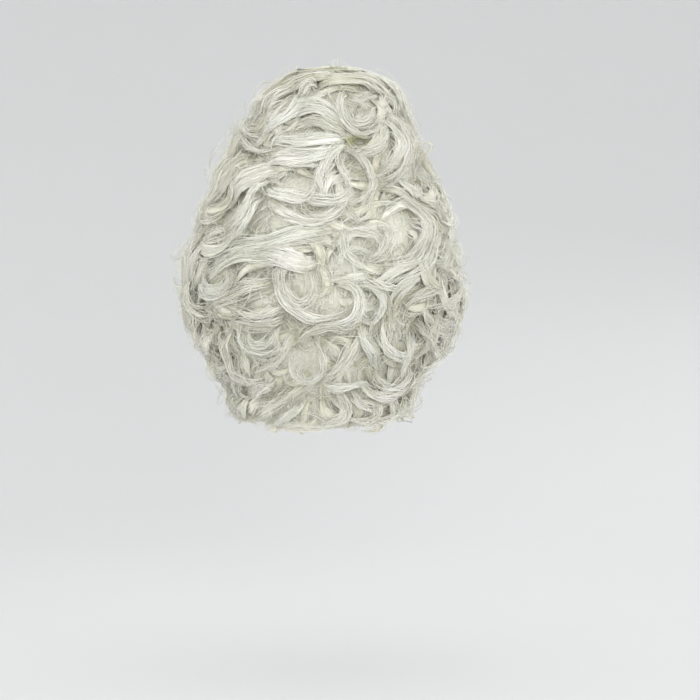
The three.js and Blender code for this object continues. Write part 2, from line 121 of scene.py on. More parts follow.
# The curls of the back as they show from behind. Each row is how wide a lock is in millimetres, how
# much painted light it carries, from -2 for painted shade to 2 for painted light, and then the places
# it runs through: how far they lie towards the wearer's right and how far down, in steps from the
# chart's corner. The hair's middle, its widest level and its ends lie at these steps
CHART_MIDDLE = 66.4
CHART_HALF_WIDTH = 52.4
CHART_LEVEL = 68.0
CHART_RISE = 58.3
CHART_DROP = 80.8
BACK_LOCKS = (
    # over the top
    (24, -2, (80, 11), (70, 9.5), (58, 10), (47, 14), (41, 21), (37, 29)),
    (22, -2, (76, 15), (67, 13), (55, 14), (47, 20), (42, 28)),
    (16, -1, (56, 11), (66, 9.5), (78, 9.5), (88, 12), (95, 20), (101, 32), (103, 40)),
    (22, -2, (60, 16), (68, 15), (80, 14), (87, 18), (91, 25)),
    (6, 1, (84, 11), (89, 15), (92, 20), (95, 26)),
    (5, 1, (92, 14), (97, 21), (100, 28), (103, 36)),
    # the swirls at the top left
    (9, 1, (62, 13), (54, 17), (49, 22), (45, 28), (44, 32)),
    (12, 2, (58, 17), (56, 25), (52, 31), (46, 35), (39, 37)),
    (7, 1, (34, 29), (34, 36), (37, 41), (42, 44), (49, 44)),
    (4, 1, (37, 27), (36, 33), (38, 37), (43, 38)),
    (6, 2, (46, 20), (42, 23), (39, 27)),
    (4, 0, (64, 17), (60, 18), (58, 24)),
    (12, 1, (81, 37), (73, 33), (65, 29), (57, 29), (50, 33)),
    (8, 0, (77, 39), (69, 35), (62, 33), (56, 35), (53, 40)),
    (12, 2, (76, 38), (68, 41), (60, 42), (52, 41), (45, 40)),
    (13, 1, (73, 41), (66, 46), (57, 48), (48, 48), (39, 51)),
    # the ring at the top right and the swoop round it
    (9, 1, (78, 18), (73, 22), (72, 28), (75, 34), (81, 37), (87, 34), (88, 27)),
    (3, 1, (88, 22), (84, 22), (80, 24), (75, 24)),
    (5, 0, (85, 25), (84, 29), (80, 33), (75, 31)),
    (14, 1, (89, 26), (96, 33), (98, 42), (96, 50), (90, 55), (84, 56)),
    (10, 0, (88, 29), (93, 37), (93, 45), (90, 51), (84, 54)),
    (10, 1, (93, 27), (100, 36), (101, 45), (98, 52), (92, 57)),
    (15, 0, (89, 30), (88, 38), (84, 43), (76, 45)),
    # down from the knot
    (11, 2, (76, 39), (69, 46), (66, 52), (65, 58), (68, 64)),
    (5, 1, (75, 42), (72, 48), (73, 55), (76, 62)),
    (4, 1, (73, 43), (79, 46), (83, 52), (84, 59), (80, 64), (73, 66)),
    (7, 2, (43, 57), (48, 62), (55, 64), (61, 63), (64, 57)),
    (7, 2, (57, 58), (60, 63), (66, 65), (73, 64), (77, 58)),
    (6, 1, (44, 65), (52, 70), (61, 72), (69, 71), (75, 66)),
    (5, 1, (58, 66), (61, 70), (67, 70), (72, 67), (75, 62)),
    # the broad waves at the left
    (18, 1, (52, 50), (44, 52), (36, 57), (28, 62), (21, 67)),
    (10, 1, (47, 54), (40, 60), (37, 66), (32, 72), (25, 76)),
    (8, 1, (43, 60), (40, 66), (38, 71), (33, 76), (26, 79)),
    (22, -1, (39, 44), (31, 50), (25, 58), (16, 64)),
    (7, 2, (31, 43), (28, 47), (25, 52)),
    (14, -2, (30, 30), (24, 37), (21, 46), (18, 55), (14, 63)),
    (18, -1, (41, 31), (34, 36), (29, 44), (24, 52)),
    (17, 1, (75, 74), (61, 76), (48, 80), (36, 81), (26, 83), (18, 90)),
    (14, 0, (62, 81), (52, 84), (42, 84), (33, 85), (25, 91), (19, 98)),
    (14, 2, (66, 85), (60, 88), (51, 86), (43, 84), (36, 87)),
    (9, 1, (61, 87), (51, 90), (51, 97), (55, 103), (61, 107), (69, 107), (77, 103)),
    (5, 1, (50, 90), (53, 99), (58, 102), (62, 97), (61, 91)),
    (12, 0, (50, 94), (41, 96), (32, 99), (23, 104)),
    (7, 1, (52, 103), (45, 106), (37, 106), (31, 103)),
    (4, 0, (53, 107), (46, 109), (38, 110), (31, 108)),
    (8, 1, (26, 75), (20, 81), (17, 89), (15, 97)),
    (12, -2, (17, 67), (13, 74), (10, 82), (9, 92), (11, 101), (17, 108)),
    (5, 1, (20, 92), (23, 98), (28, 97), (31, 91)),
    (6, -1, (12, 91), (12, 98), (16, 103), (23, 104)),
    # the rings at the right
    (8, 1, (87, 73), (91, 67), (97, 65), (102, 69), (104, 77), (101, 84), (93, 87), (86, 88)),
    (5, 1, (98, 70), (102, 75), (101, 81), (96, 86), (90, 88)),
    (9, 2, (103, 70), (107, 76), (106, 84), (100, 90), (92, 93)),
    (10, 1, (105, 86), (98, 88), (91, 91), (85, 95), (78, 95)),
    (4, 1, (76, 85), (75, 79), (79, 76), (85, 77), (88, 82)),
    (4, 0, (74, 73), (74, 81), (76, 87), (81, 90)),
    (4, 0, (90, 74), (89, 80), (86, 85), (81, 87)),
    (4, 0, (70, 77), (73, 84), (72, 91)),
    (4, 1, (70, 91), (73, 86), (78, 83), (84, 85)),
    (14, -1, (109, 69), (114, 75), (113, 83), (108, 89)),
    (12, -1, (105, 56), (110, 62), (115, 70), (118, 80), (119, 90)),
    (8, -1, (87, 57), (95, 62), (101, 67), (106, 72)),
    (14, -2, (98, 54), (102, 60), (108, 65), (112, 72)),
    (9, 0, (112, 85), (116, 91), (117, 98), (111, 103), (104, 104)),
    (8, 0, (114, 94), (107, 97), (101, 100), (95, 105)),
    (8, 1, (104, 102), (106, 108), (112, 111), (117, 109), (119, 102)),
    (8, 0, (105, 91), (98, 94), (93, 98), (91, 105)),
    (9, 1, (77, 97), (83, 96), (88, 100), (88, 106), (84, 110), (78, 107)),
    (10, 0, (69, 95), (76, 96), (79, 101), (77, 107), (70, 110), (62, 113)),
    (4, 1, (81, 93), (87, 96), (95, 97)),
    # the small curls at the lower left
    (7, 1, (34, 108), (34, 114), (38, 119), (45, 121), (51, 118), (54, 111)),
    (6, 1, (29, 112), (29, 120), (32, 127), (39, 130), (47, 130)),
    (4, 0, (37, 111), (40, 116), (46, 116), (49, 111)),
    (8, -1, (55, 113), (51, 121), (46, 126), (39, 128)),
    (14, -2, (18, 103), (16, 111), (19, 119), (24, 125)),
    (10, -1, (23, 117), (22, 126), (27, 130), (34, 129)),
    (6, 0, (31, 128), (28, 133), (28, 139), (32, 144)),
    (6, 1, (37, 128), (33, 132), (34, 137), (39, 138)),
    (6, 1, (48, 132), (42, 135), (38, 140)),
    (14, -2, (35, 137), (32, 144), (35, 150), (43, 151)),
    (8, -1, (59, 133), (52, 138), (46, 142), (40, 147)),
    (7, 1, (59, 141), (53, 145), (50, 149), (45, 151)),
    (6, 1, (46, 149), (52, 152), (60, 153), (67, 151), (72, 147)),
    # the small curls at the lower right
    (5, 0, (60, 115), (65, 120), (66, 127), (61, 131), (55, 128), (54, 121)),
    (7, -1, (81, 109), (74, 112), (67, 111), (60, 114), (56, 119)),
    (9, 0, (82, 112), (77, 118), (74, 123), (70, 128), (64, 131)),
    (7, 1, (80, 110), (81, 116), (84, 121), (84, 128)),
    (7, 1, (64, 133), (72, 133), (80, 132), (86, 135)),
    (7, 1, (79, 131), (83, 136), (89, 138), (95, 136), (99, 131)),
    (4, 1, (84, 129), (89, 133), (96, 134)),
    (6, 1, (91, 107), (88, 114), (91, 119), (96, 120), (99, 115), (98, 109)),
    (6, 1, (99, 113), (97, 120), (95, 126), (95, 132)),
    (8, 1, (90, 137), (92, 143), (89, 148), (84, 151), (77, 149)),
    (5, 0, (76, 135), (80, 139), (86, 140)),
    (10, 0, (71, 136), (74, 141), (72, 146), (65, 149)),
    (5, 0, (85, 139), (84, 145), (80, 147), (73, 146)),
    (5, 0, (102, 109), (106, 116), (109, 122)),
    (9, -1, (118, 111), (115, 116), (113, 122), (117, 126)),
    (14, -2, (109, 117), (105, 125), (101, 131), (97, 137)),
    (12, -2, (98, 137), (95, 143), (97, 149), (92, 152)),
    (12, -2, (112, 104), (108, 112), (104, 119), (99, 124)),
)

# Loose curls of a few hairs each, which stand off the edge of the hair: the places of the chart that
# they run through
LOOSE_CURLS = (
    ((101, 45), (104.5, 41), (105.9, 37.4), (108.6, 35.8), (110.6, 37.8), (109.4, 40.6), (106.6, 40.8)),
    ((103, 44), (106.8, 41.6), (109.5, 40), (110, 37.4), (108, 36.2), (106, 37.8), (106.6, 40)),
    ((104, 57), (106.2, 53), (107.6, 49.8), (109.9, 48.6), (112.4, 49), (112.8, 51.5), (111.6, 53.8)),
    ((104, 60), (107, 57.6), (110, 55.8), (112.4, 55), (114.2, 56), (115.6, 55.4)),
    ((106, 65), (108.7, 61.5), (110.4, 59.8), (112.4, 60.6), (113.9, 63.2), (114.3, 65.5)),
    ((92, 17), (96, 19), (98.4, 23), (100.4, 27.6), (102.2, 31.6), (103.4, 35.5)),
    ((64, 13), (68, 9), (72, 7.4), (76, 7.4), (79, 9), (79.6, 11)),
    ((84, 14), (88, 11.4), (92, 11.8), (95.5, 15), (97.2, 19)),
    ((100, 118), (105, 119), (109, 120.4), (113, 122.8), (114.8, 125.4)),
    ((114, 90), (118, 91.5), (120.6, 94.5), (120.8, 98), (118.5, 100.5)),
    ((23, 107), (19, 109), (17.4, 112), (18.4, 115.4), (21.4, 116.6)),
    ((37, 30), (33, 30.2), (30, 32.6), (28.8, 36), (30.4, 39)),
    ((88, 142), (93, 143.6), (97, 146.2), (98.6, 149.4), (97, 152)),
)

# Where the hair at the back stands out in soft lumps, or sinks in: the place on the chart, and then
# the size and the height in millimetres
# The lumps are also painted lighter and the dips darker, as painted light and shade
LUMPS = (
    (65, 15, 13, -4),
    (84, 24, 13, -4),
    (65, 27, 14, 3),
    (80, 40, 8, -7),
    (73, 48, 9, -5),
    (89, 57, 16, -5),
    (62, 45, 16, 4),
    (66, 59, 13, 5),
    (97, 43, 12, 4),
    (33, 38, 22, -4),
    (24, 70, 18, -6),
    (36, 57, 13, 3),
    (51, 86, 14, 7),
    (58, 94, 10, 5),
    (42, 90, 9, -5),
    (103, 75, 13, 5),
    (89, 76, 11, 3),
    (100, 105, 20, -7),
    (66, 114, 13, -6),
    (68, 104, 12, 4),
    (30, 106, 22, -4),
    (55, 107, 16, -3),
    (38, 97, 10, 4),
    (48, 121, 14, -2),
    (87, 140, 14, 4),
    (62, 136, 13, -4),
    (112, 40, 34, -6),
    (107, 47, 18, -9),
    (117, 125, 18, 11),
    (12, 86, 26, 2),
    (16, 121, 14, 4),
)
# Waves in the skin of the hair all round: how long each is in millimetres, and the way it runs, round
# and up, in degrees. Its length also sets where it starts
WAVES = ((62, 20, 0), (47, 75, 25), (55, 140, 50), (38, 100, 80), (44, 160, 15), (35, 40, 60))
WAVE_HEIGHT = 0.0012

# Broad locks brought over the top from the front: where the root lies, as an angle round the head
# and a share of HAIR_RISE, then the heading it sets off on, with 0 down and 90 to the left, how far
# it turns, and its length and width in millimetres
TOP_LOCKS = (
    (150, 0.82, 165, 30, 105, 24),
    (172, 0.84, 180, 40, 110, 24),
    (190, 0.84, 185, -20, 105, 24),
    (210, 0.82, 190, -45, 110, 24),
    (165, 0.88, 200, -60, 90, 18),
    (198, 0.88, 160, 55, 95, 18),
    (120, 0.84, 150, 40, 80, 20),
    (240, 0.84, 210, -40, 80, 20),
)

# The height of the cap's edge over the forehead
BROW = -0.048
# Every lock follows a line of so many steps, and bends more towards its tip
WALK_STEPS = 24
CURL_TIGHTENING = 0.5
# The ends of the locks are gathered up softly over this height
END_SOFTNESS = 0.03
# How thick a lock is for its width, and how deep its root is sunk in the hair under it
FLATNESS = 0.23
ROOT_SINK = 0.012
# Every lock is a body under wisps that lie side by side along it, with strands among them, and the
# narrowest locks have no body
NARROWEST_BODY = 0.0065
BODY_RINGS = 10
BODY_SIDES = 8
WISP_SPACING = 0.0024
WISP_POINTS = 9
STRAND_POINTS = 9
STRAND_RADIUS = 0.00037
STRAY_SHARE = 0.28
# How far the loose curls at the rim stand out
RIM_HEIGHT = 0.011
# Painted light on the lumps and painted shade in the dips: how much lighter the hair is painted per metre
# that it stands out
LUMP_PAINTED_SHADING = 45.0
# Streaks along the hair: how wide and how long they are
STREAK_WIDTH = 0.0005
STREAK_LENGTH = 0.035
# How much lighter a lock is painted for each step of the chart, as painted light, and darker below 0, as
# painted shade
PAINTED_LIGHT_STEP = 0.15

DOWN = np.array((0.0, 0.0, -1.0))
rng = np.random.default_rng(1770)


def unit(v):
    return v / np.maximum(np.linalg.norm(v, axis=-1, keepdims=True), 1e-9)


def dot(a, b):
    return (a * b).sum(-1, keepdims=True)


def smooth_columns(rows, places):
    """Every column of a table at places between its rows, on a smooth curve through each row."""
    rows = np.array(rows)
    last = len(rows) - 1
    row = np.clip(np.floor(places).astype(int), 0, last - 1)
    f = (places - row)[:, None]
    a, b, c, d = (rows[np.clip(row + k, 0, last)] for k in (-1, 0, 1, 2))
    return b + 0.5 * f * (c - a + f * (2 * a - 5 * b + 4 * c - d + f * (3 * (b - c) + d - a)))


class Form:
    """A body with an elliptical outline at every level, such as the head or the hair round it."""

    FAR_OUTSIDE = 9.0
    LEVELS = 800

    def __init__(self, rows, rise, drop, half_width, half_depth, set_back, heart):
        table = smooth_columns(rows, np.linspace(0, len(rows) - 1, self.LEVELS))
        height, wide, deep, set_share, lean = table[::-1].T
        self.z = np.where(height > 0, height * rise, height * drop)
        self.columns = (wide * half_width, deep * half_depth, set_share * set_back, lean * half_width)
        self.rise, self.heart = rise, np.array(heart)

    def outline(self, z):
        return [np.interp(z, self.z, values) for values in self.columns]

    def point(self, angle, z, grow=0.0):
        """The point of the outline at an angle round the head, in degrees, moved out by grow."""
        wide, deep, set_back, lean = self.outline(z)
        a = np.radians(angle)
        x = lean + (wide + grow) * np.sin(a)
        y = set_back + (deep + grow) * np.cos(a)
        return np.stack(np.broadcast_arrays(x, y, z), -1)

    def reach(self, p):
        """1 on the surface, less inside and more outside."""
        wide, deep, set_back, lean = self.outline(p[..., 2])
        wide, deep = np.maximum(wide, 1e-5), np.maximum(deep, 1e-5)
        reach = np.hypot((p[..., 0] - lean) / wide, (p[..., 1] - set_back) / deep)
        return np.where(p[..., 2] >= self.rise, self.FAR_OUTSIDE, np.minimum(reach, self.FAR_OUTSIDE))

    def project(self, p):
        """Where the line from the heart of the form through each point meets the surface."""
        ray = p - self.heart
        low, high = np.zeros(p.shape[:-1]), np.full(p.shape[:-1], 3.0)
        for _ in range(22):
            middle = (low + high) / 2
            outside = self.reach(self.heart + ray * middle[..., None]) > 1
            low, high = np.where(outside, low, middle), np.where(outside, middle, high)
        return self.heart + ray * low[..., None]

    def normal(self, p, step=0.002):
        slope = [self.reach(p + step * axis) - self.reach(p - step * axis) for axis in np.eye(3)]
        return unit(np.stack(slope, -1))


HAIR_HALF_WIDTH = HEAD_HALF_WIDTH + SIDE_HAIR
HAIR_HALF_DEPTH = HEAD_HALF_DEPTH + (BACK_HAIR + FRONT_HAIR) / 2
HAIR_SET = (BACK_HAIR - FRONT_HAIR) / 2
HEAD = Form(
    HEAD_LEVELS, 0.001, CAP_DROP, HEAD_HALF_WIDTH, HEAD_HALF_DEPTH, HEAD_HALF_DEPTH, (0, 0, -0.09)
)
HAIR = Form(
    HAIR_LEVELS,
    HAIR_RISE,
    HAIR_DROP,
    HAIR_HALF_WIDTH,
    HAIR_HALF_DEPTH,
    HAIR_SET,
    (0, HAIR_SET * 2 / 3, (HAIR_RISE - HAIR_DROP) / 2),
)


def height_of(share):
    """The height of a share of HAIR_RISE or, below the origin, of HAIR_DROP."""
    return share * np.where(share > 0, HAIR_RISE, HAIR_DROP)


def turned(v, axis, degrees):
    """Vectors turned about unit axes, by the right-hand rule."""
    a = np.radians(degrees)[..., None]
    return v * np.cos(a) + np.cross(axis, v) * np.sin(a)


def angle_at(p):
    """The angle round the head of points, in degrees from the middle of the back."""
    wide, deep, set_back, lean = HAIR.outline(p[..., 2])
    wide, deep = np.maximum(wide, 1e-5), np.maximum(deep, 1e-5)
    return np.degrees(np.arctan2((p[..., 0] - lean) / wide, (p[..., 1] - set_back) / deep))


def chart_place(across, down, highest=0.985):
    """How far left and how high a place of the chart lies."""
    up = CHART_LEVEL - np.asarray(down, float)
    z = up * np.where(up > 0, HAIR_RISE / CHART_RISE, HAIR_DROP / CHART_DROP)
    x = (CHART_MIDDLE - np.asarray(across, float)) * HAIR_HALF_WIDTH / CHART_HALF_WIDTH
    return x, np.minimum(z, HAIR_RISE * highest)


def lumps(p):
    """How far the hair stands out at points of its skin, in soft lumps and dips of many sizes."""
    across, down, size, out = np.array(LUMPS, float).T
    x, z = chart_place(across, down)
    height = 0
    for place in zip(x, z, size / 1000, out / 1000):
        near = ((p[..., 0] - place[0]) ** 2 + (p[..., 2] - place[1]) ** 2) / place[2] ** 2
        height = height + place[3] * np.exp(-near) * np.clip(0.5 + p[..., 1] / 0.08, 0, 1)
    for long_mm, heading, climb in WAVES:
        heading, climb = np.radians(heading), np.radians(climb)
        way = np.array((np.cos(heading) * np.cos(climb), np.sin(heading) * np.cos(climb), np.sin(climb)))
        height = height + WAVE_HEIGHT * np.sin(2 * np.pi * (p @ way) * 1000 / long_mm + long_mm)
    return height


def lowest(angle):
    """How low the ends of the locks hang at an angle round the head."""
    return np.interp(np.abs(angle), (0, 40, 65, 180), (0.222, 0.217, 0.206, 0.2))


def over_face(p):
    """Whether points lie over the open face."""
    return (np.abs(angle_at(p)) > FACE_ANGLE - 4) & (p[..., 2] < FACE_TOP)


class Locks:
    """A set of locks: the line that each follows over the skin of the hair, and its sizes."""

    def __init__(self, points, wide_mm, lift_mm, arch_mm, twist=35, shade=0.0, outs=None, beside_face=False):
        kept = (over_face(points).mean(1) < 0.2) | beside_face
        sizes = [np.broadcast_to(size, kept.shape)[kept] / 1000 for size in (wide_mm, lift_mm, arch_mm)]
        self.points, (self.wide, self.lift, self.arch) = points[kept], sizes
        self.count = len(self.points)
        skin_outs = HAIR.normal(self.points)
        self.points = self.points + skin_outs * lumps(self.points)[..., None]
        self.outs = skin_outs if outs is None else outs[kept]
        along = np.gradient(self.points, axis=1)
        self.alongs = unit(along - dot(along, self.outs) * self.outs)
        self.acrosses = np.cross(self.alongs, self.outs)
        self.long = np.linalg.norm(np.diff(self.points, axis=1), axis=-1).sum(1)
        before, after = self.alongs[:, :-1], self.alongs[:, 1:]
        bends = np.arctan2(dot(np.cross(before, after), self.outs[:, 1:]), dot(before, after))
        self.turn = -np.degrees(bends.sum((1, 2)))
        self.twist = np.radians(rng.uniform(-twist, twist, self.count))
        # light is the painted light and shade that a lock takes from the chart or from its guide; shade adds
        # a random tone to it, and dress adds the painted light or shade of the lock's layer
        self.light = np.broadcast_to(shade, kept.shape)[kept]
        self.shade = self.light + rng.normal(0, 0.06, self.count)
        below = np.maximum(-self.points[..., 2] - lowest(angle_at(self.points)) + END_SOFTNESS, 0)
        self.points[..., 2] += below - END_SOFTNESS * np.tanh(below / END_SOFTNESS)

    def tiers(self):
        """The index of the tier that each lock grows from."""
        root = self.points[:, 0]
        angle, z = angle_at(root), root[:, 2]
        found = np.full(self.count, -1)
        for index, (_, low_angle, high_angle, low, high) in enumerate(TIERS):
            inside = np.mod(angle - low_angle, 360) <= high_angle - low_angle
            inside = inside & (z < height_of(high)) & (z >= height_of(low))
            found = np.where((found < 0) & inside, index, found)
        return found

    def at(self, which, share):
        """The middle line, the way out and the way across, at shares of the way along some locks."""
        place = np.clip(share, 0, 1) * WALK_STEPS
        low = np.minimum(place.astype(int), WALK_STEPS - 1)
        f = (place - low)[..., None]
        which = which[:, None]
        rows = (self.points, self.outs, self.acrosses)
        return [row[which, low] * (1 - f) + row[which, low + 1] * f for row in rows]


def walked(angle, z, heading, turn, long_mm, wave):
    """Lines over the skin that set off on a heading, 0 down and 90 to the left, and bend as they go."""
    angle, z, heading, turn, long_mm = np.broadcast_arrays(angle, z, heading, turn, long_mm)
    n = len(z)
    point = HAIR.point(angle, z)
    out = HAIR.normal(point)
    down = unit(DOWN - dot(DOWN[None], out) * out)
    a = np.radians(heading)[:, None]
    along = down * np.cos(a) + np.cross(down, out) * np.sin(a)
    points = [point]
    phase, waves = rng.uniform(0, 2 * np.pi, n), rng.uniform(1.0, 2.2, n)
    for step in range(WALK_STEPS):
        share = (step + 0.5) / WALK_STEPS
        bend = turn / WALK_STEPS * (1 + CURL_TIGHTENING * (2 * share - 1))
        bend = bend + wave * np.sin(2 * np.pi * waves * share + phase) * waves * 4 / WALK_STEPS
        along = turned(along, out, -bend)
        point = HAIR.project(point + along * (long_mm / 1000 / WALK_STEPS)[:, None])
        out = HAIR.normal(point)
        along = unit(along - dot(along, out) * out)
        points.append(point)
    return np.stack(points, 1)


def belly(share):
    """How wide a lock is along its way: it swells from its root and thins out to its tip."""
    return 0.1 + 0.2 * (1 - share) ** 3 + 0.9 * np.sin(np.pi * np.clip(0.04 + 0.94 * share, 0, 1)) ** 0.8


def column(values):
    return np.asarray(values)[:, None]


def lift_of(locks, which, share):
    """How high a lock's middle stands over the skin."""
    arch = np.sin(np.pi * np.clip(share, 0, 1)) ** 0.7
    root = np.clip(1 - share / 0.22, 0, 1) ** 2
    return column(locks.lift[which]) + column(locks.arch[which]) * arch - ROOT_SINK * root


def lock_frame(locks, which, share):
    """The middle line, the way out, the way across and the half width of locks along their way."""
    middle, out, across = locks.at(which, share)
    twist = (column(locks.twist[which]) * (share - 0.3))[..., None]
    middle = middle + out * lift_of(locks, which, share)[..., None]
    across, out = across * np.cos(twist) + out * np.sin(twist), out * np.cos(twist) - across * np.sin(twist)
    return middle, out, across, column(locks.wide[which]) / 2 * belly(share)


class Shapes:
    """Many small closed tubes in one mesh: their points, faces, tones and places on the hair."""

    def __init__(self):
        self.points, self.faces, self.tones, self.combs, self.count = [], [], [], [], 0

    def add(self, rings, tone, comb):
        """Tubes with rings of points (tube, ring, side, xyz), and a tone for each tube."""
        tubes, ring_count, sides = rings.shape[:3]
        index = self.count + np.arange(tubes * ring_count * sides).reshape(tubes, ring_count, sides)
        a, b = index[:, :-1], index[:, 1:]
        self.faces.append(np.stack([a, np.roll(a, -1, 2), np.roll(b, -1, 2), b], -1).reshape(-1, 4))
        self.faces += [index[:, 0, ::-1], index[:, -1]]
        self.points.append(rings.reshape(-1, 3))
        along = np.linspace(0, 1, ring_count)
        # The tone is painted darker at the root, as shade where the lock sinks into the hair, a little
        # lighter towards the tip, and lighter on the lumps and darker in the dips, as painted light and shade
        tone = column(tone) - 0.3 * (1 - along) ** 4 + 0.06 * along + LUMP_PAINTED_SHADING * lumps(rings.mean(2))
        self.tones.append(np.repeat(tone.ravel(), sides))
        self.combs.append(comb.reshape(-1, 3))
        self.count += tubes * ring_count * sides

    def piece(self, name, material):
        mesh = bpy.data.meshes.new(name)
        sizes = np.concatenate([np.full(len(f), f.shape[1]) for f in self.faces])
        corners = np.concatenate([f.ravel() for f in self.faces])
        mesh.vertices.add(self.count)
        mesh.vertices.foreach_set("co", np.concatenate(self.points).ravel())
        mesh.loops.add(len(corners))
        mesh.loops.foreach_set("vertex_index", corners.astype(np.int32))
        mesh.polygons.add(len(sizes))
        mesh.polygons.foreach_set("loop_start", (np.cumsum(sizes) - sizes).astype(np.int32))
        tone = mesh.attributes.new("tone", "FLOAT", "POINT")
        tone.data.foreach_set("value", np.concatenate(self.tones).astype(np.float32))
        comb = mesh.attributes.new("comb", "FLOAT_VECTOR", "POINT")
        comb.data.foreach_set("vector", np.concatenate(self.combs).astype(np.float32).ravel())
        mesh.update(calc_edges=True)
        mesh.polygons.foreach_set("use_smooth", np.ones(len(sizes), bool))
        mesh.materials.append(material)
        obj = bpy.data.objects.new(name, mesh)
        bpy.context.scene.collection.objects.link(obj)
        return obj


def comb_of(sideways, share, long):
    """Where the streaks of the material run: how far sideways, how far along, and a chance number."""
    chance = rng.uniform(0, 500, len(sideways))[:, None, None]
    along = (share * column(long) / STREAK_LENGTH)[..., None]
    return np.stack(np.broadcast_arrays(sideways / STREAK_WIDTH, along, chance), -1)


def add_bodies(shape, locks, which):
    """The smooth body of each lock, as rings round its middle line that close in to its tip."""
    share = np.linspace(0.0, 0.88, BODY_RINGS)[None].repeat(len(which), 0)
    middle, out, across, half = lock_frame(locks, which, share)
    half = (half * np.clip((0.9 - share) / 0.5, 0.04, 0.8))[..., None]
    a = np.linspace(-np.pi / 2, 1.5 * np.pi, BODY_SIDES, endpoint=False)
    groove = 1 + rng.uniform(-0.14, 0.08, (len(which), 1, BODY_SIDES))
    x, y = half * groove * np.cos(a), half * FLATNESS * groove * np.sin(a)
    rings = middle[:, :, None] + across[:, :, None] * x[..., None] + out[:, :, None] * y[..., None]
    sideways = half * (a + np.pi / 2)
    # The bodies are painted darker than the wisps and strands over them, as painted shade under them
    shape.add(rings, 0.46 + locks.shade[which], comb_of(sideways, share, locks.long[which]))


class Wisps:
    """The partings of locks: lines that lie side by side along them."""

    def __init__(self, locks, which, spacing):
        counts = np.maximum(3, np.round(locks.wide[which] / spacing)).astype(int)
        self.locks, self.owner = locks, np.repeat(which, counts)
        n = self.count = len(self.owner)
        order = np.arange(n) - np.repeat(np.cumsum(counts) - counts, counts)
        self.place = (order + rng.uniform(0.1, 0.9, n)) / np.repeat(counts, counts) * 2 - 1
        self.drift = rng.normal(0, 0.4, n)
        self.height = rng.normal(0.02, 0.1, n)
        self.start, self.end = rng.uniform(0, 0.06, n), rng.uniform(0.72, 1.0, n)
        self.wobble = rng.uniform(0.0003, 0.0012, (2, n))
        self.beat, self.phase = rng.uniform(0.7, 2.2, (2, n)), rng.uniform(0, 2 * np.pi, (2, n))
        self.tone = 0.56 + locks.shade[self.owner] + rng.normal(0, 0.08, n)

    def lines(self, which, start, end, points):
        share = column(start) + column(end - start) * np.linspace(0, 1, points)
        middle, out, across, half = lock_frame(self.locks, self.owner[which], share)
        place = column(self.place[which]) + column(self.drift[which]) * share**2
        x = place * half
        y = half * (FLATNESS * np.sqrt(np.clip(1 - place**2, 0, 1)) + column(self.height[which]))
        waves = [
            column(size[which]) * np.sin(2 * np.pi * column(beat[which]) * share + column(phase[which]))
            for size, beat, phase in zip(self.wobble, self.beat, self.phase)
        ]
        line = middle + across * (x + waves[0])[..., None] + out * (y + waves[1])[..., None]
        return line, out, place, share


def frames_along(line, out):
    """The ways to the side of lines and up from them."""
    along = unit(np.gradient(line, axis=1))
    side = unit(np.cross(along, out))
    return side, np.cross(side, along)


def add_wisps(shape, wisps, share_shown):
    """Flat closed ribbons along some of the partings of each lock."""
    which = np.flatnonzero(rng.random(wisps.count) < share_shown)
    n = len(which)
    line, out, place, share = wisps.lines(which, wisps.start[which], wisps.end[which], WISP_POINTS)
    side, up = frames_along(line, out)
    tilt = np.clip(place, -1, 1)[..., None] * 0.7
    side, up = side * np.cos(tilt) - up * np.sin(tilt), up * np.cos(tilt) + side * np.sin(tilt)
    own = np.linspace(0, 1, WISP_POINTS)
    wide = column(rng.uniform(0.0003, 0.0008, n)) * (1 - 0.85 * own**3) * (0.5 + 0.5 * own**0.3)
    thick = wide * 0.5
    corners = ((-1, -0.3), (1, -0.3), (0, 0.7))
    rings = [line + side * (wide * i)[..., None] + up * (thick * j)[..., None] for i, j in corners]
    sideways = wide[..., None] * np.array([-1.2, 1.2, 0])
    comb = comb_of(sideways, share, wisps.locks.long[wisps.owner[which]])
    shape.add(np.stack(rings, 2), wisps.tone[which], comb)


def strand_rings(line, out, radius):
    """Thin three-sided tubes along lines, finest at the tip."""
    side, up = frames_along(line, out)
    share = np.linspace(0, 1, line.shape[1])
    size = column(radius) * (1 - 0.3 * (1 - share) ** 3) * (1 - 0.8 * share**4)
    a = rng.uniform(0, 2 * np.pi, (len(line), 1, 1)) + np.linspace(0, 2 * np.pi, 3, endpoint=False)
    ring = np.cos(a)[..., None] * side[:, :, None] + np.sin(a)[..., None] * up[:, :, None]
    return line[:, :, None] + ring * size[..., None, None]


